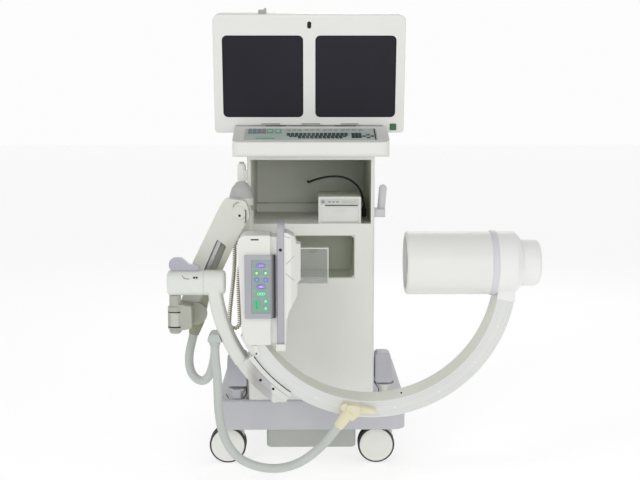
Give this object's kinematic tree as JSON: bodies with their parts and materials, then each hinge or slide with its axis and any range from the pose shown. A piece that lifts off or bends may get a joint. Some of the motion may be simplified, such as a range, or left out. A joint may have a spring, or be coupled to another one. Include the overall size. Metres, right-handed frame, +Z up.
{
  "type": "mobile c-arm x-ray",
  "caption": "Wheeled x-ray cart with a double screen, sloping keyboard and cabinet, carrying a C ring with source head and image intensifier on a levelled arm.",
  "frame": {"origin": "centre of the bounding box at floor level", "axes": "+Z up; -Y towards the user, who faces the screens; +X to the right of the cart as its user faces it"},
  "size_m": [1.154, 0.956, 1.5207],
  "materials": {
    "shell_white": "satin moulded",
    "shell_lavender": "fine texture",
    "weight_steel": "satin paint",
    "arm_casting": "painted",
    "bare_aluminium": "satin",
    "pin_steel": "brushed",
    "painted_sheet": "satin paint",
    "caster_frame": "moulded",
    "wheel_tread": "matte",
    "screen_face": "glossy",
    "key_membrane": "matte",
    "panel_membrane": "satin",
    "grey_cover": "matte",
    "lever_plastic": "glossy",
    "braid": "braided",
    "cream_moulding": "matte",
    "boot_rubber": "matte",
    "cord_jacket": "matte",
    "dark_jacket": "matte",
    "clear_plastic": "clear",
    "green_key": "glossy",
    "printer_plastic": "matte"
  },
  "bodies": {
    "cart": {"base_shroud": "shell_lavender", "base_chassis": "weight_steel", "cabinet_shell": "shell_white", "cabinet_rear_panel": "shell_white", "bin_liner": "shell_white", "leaflet_holder": "clear_plastic", "printer_case": "printer_plastic", "printer_cable": "dark_jacket", "push_handle": "shell_lavender", "cord_post_left": "shell_lavender", "cord_post_right": "shell_lavender", "console_shell": "shell_white", "keyboard_deck": "shell_white", "keypad": "key_membrane", "monitor_pedestal": "grey_cover", "switch_clip": "shell_white", "curly_cord": "cord_jacket", "arm_bracket": "weight_steel"},
    "printer_flap": {"printer_door": "printer_plastic"},
    "monitor": {"monitor_rear_shell": "shell_white", "monitor_bezel": "shell_white", "screen_left": "screen_face", "screen_right": "screen_face", "monitor_latch": "grey_cover"},
    "power_key": {"power_button": "green_key"},
    "switch_body": {"hand_switch": "shell_white"},
    "switch_key": {"switch_trigger": "grey_cover"},
    "shoulder": {"shoulder_block": "arm_casting", "shoulder_dome": "grey_cover"},
    "lift_arm": {"flex_arm": "arm_casting", "conduit_boot": "boot_rubber"},
    "levelling_rod": {"tie_rod": "pin_steel"},
    "knuckle_body": {"knuckle": "arm_casting"},
    "yoke": {"yoke_housing": "arm_casting"},
    "lever": {"lock_lever": "lever_plastic"},
    "rotor": {"rotor_strut": "arm_casting", "carriage": "arm_casting", "carriage_rollers": "pin_steel", "conduit_clip": "grey_cover", "conduit_upper": "braid"},
    "c_arc": {"arc_beam": "bare_aluminium", "head_housing": "shell_white", "head_panel": "panel_membrane", "head_bumper": "shell_white", "beam_cone": "shell_white", "intensifier_can": "painted_sheet", "intensifier_window": "bare_aluminium", "intensifier_ring": "grey_cover", "intensifier_cap": "shell_white", "cable_breakout": "cream_moulding", "conduit_lower": "braid"},
    "caster_fl": {"caster_fork_fl": "caster_frame"},
    "wheels_fl": {"caster_wheels_fl": "wheel_tread"},
    "caster_fr": {"caster_fork_fr": "caster_frame"},
    "wheels_fr": {"caster_wheels_fr": "wheel_tread"},
    "caster_bl": {"caster_fork_bl": "caster_frame"},
    "wheels_bl": {"caster_wheels_bl": "wheel_tread"},
    "caster_br": {"caster_fork_br": "caster_frame"},
    "wheels_br": {"caster_wheels_br": "wheel_tread"}
  },
  "joints": [
    {"name": "arm_swivel", "type": "hinge", "parent": "cart", "child": "shoulder", "pos_m": [-0.355, -0.206, 0.85], "axis": [0, 0, -1], "range_deg": [0, 90]},
    {"name": "arm_lift", "type": "hinge", "parent": "shoulder", "child": "lift_arm", "pos_m": [-0.357, -0.279, 0.872], "axis": [0, -1, 0], "range_deg": [-55, 12]},
    {"name": "levelling_rod", "type": "hinge", "parent": "shoulder", "child": "levelling_rod", "pos_m": [-0.374, -0.271, 0.889], "axis": [0, -1, 0], "range_deg": [-55, 12]},
    {"name": "knuckle_level", "type": "hinge", "parent": "lift_arm", "child": "knuckle_body", "pos_m": [-0.496, -0.279, 0.553], "axis": [0, -1, 0], "range_deg": [-12, 55]},
    {"name": "yoke_swivel", "type": "hinge", "parent": "knuckle_body", "child": "yoke", "pos_m": [-0.554, -0.377, 0.662], "axis": [0, 0, 1], "range_deg": [-90, 0], "deforming": ["conduit_upper"]},
    {"name": "lock_lever", "type": "hinge", "parent": "yoke", "child": "lever", "pos_m": [-0.492, -0.377, 0.7], "axis": [0, 0, 1], "range_deg": [0, 60]},
    {"name": "c_rotation", "type": "hinge", "parent": "yoke", "child": "rotor", "pos_m": [-0.4625, -0.377, 0.662], "axis": [1, 0, 0], "range_deg": [-90, 15]},
    {"name": "orbit", "type": "hinge", "parent": "rotor", "child": "c_arc", "pos_m": [0.056, -0.377, 0.69], "axis": [0, 1, 0], "range_deg": [0, 105], "deforming": ["conduit_lower"]},
    {"name": "monitor_tilt", "type": "hinge", "parent": "cart", "child": "monitor", "pos_m": [-0.135, -0.08, 1.149], "axis": [1, 0, 0], "range_deg": [-20, 15]},
    {"name": "power_button", "type": "slide", "parent": "monitor", "child": "power_key", "axis": [0, 0.9877, 0.1564], "range_m": [0, 0.002], "stiffness_N_per_m": 600, "springref_m": -0.001},
    {"name": "hand_switch", "type": "slide", "parent": "cart", "child": "switch_body", "axis": [-1, 0, 0], "range_m": [0, 0.06], "deforming": ["curly_cord"]},
    {"name": "switch_trigger", "type": "slide", "parent": "switch_body", "child": "switch_key", "axis": [0, 0, -1], "range_m": [0, 0.003], "stiffness_N_per_m": 400, "springref_m": -0.001},
    {"name": "printer_door", "type": "hinge", "parent": "cart", "child": "printer_flap", "pos_m": [-0.035, -0.149, 0.829], "axis": [1, 0, 0], "range_deg": [0, 75]},
    {"name": "caster_swivel_fl", "type": "hinge", "parent": "cart", "child": "caster_fl", "pos_m": [-0.382, -0.107, 0.138], "axis": [0, 0, 1], "continuous": true},
    {"name": "wheel_spin_fl", "type": "hinge", "parent": "caster_fl", "child": "wheels_fl", "pos_m": [-0.413, -0.107, 0.0625], "axis": [0, 1, 0], "continuous": true},
    {"name": "caster_swivel_fr", "type": "hinge", "parent": "cart", "child": "caster_fr", "pos_m": [0.122, -0.107, 0.138], "axis": [0, 0, 1], "continuous": true},
    {"name": "wheel_spin_fr", "type": "hinge", "parent": "caster_fr", "child": "wheels_fr", "pos_m": [0.091, -0.107, 0.0625], "axis": [0, 1, 0], "continuous": true},
    {"name": "caster_swivel_bl", "type": "hinge", "parent": "cart", "child": "caster_bl", "pos_m": [-0.382, 0.406, 0.138], "axis": [0, 0, 1], "continuous": true},
    {"name": "wheel_spin_bl", "type": "hinge", "parent": "caster_bl", "child": "wheels_bl", "pos_m": [-0.413, 0.406, 0.0625], "axis": [0, 1, 0], "continuous": true},
    {"name": "caster_swivel_br", "type": "hinge", "parent": "cart", "child": "caster_br", "pos_m": [0.122, 0.406, 0.138], "axis": [0, 0, 1], "continuous": true},
    {"name": "wheel_spin_br", "type": "hinge", "parent": "caster_br", "child": "wheels_br", "pos_m": [0.091, 0.406, 0.0625], "axis": [0, 1, 0], "continuous": true}
  ],
  "couplings": [
    {"joint": "levelling_rod", "follows": "arm_lift", "ratio": 1},
    {"joint": "knuckle_level", "follows": "arm_lift", "ratio": -1}
  ]
}
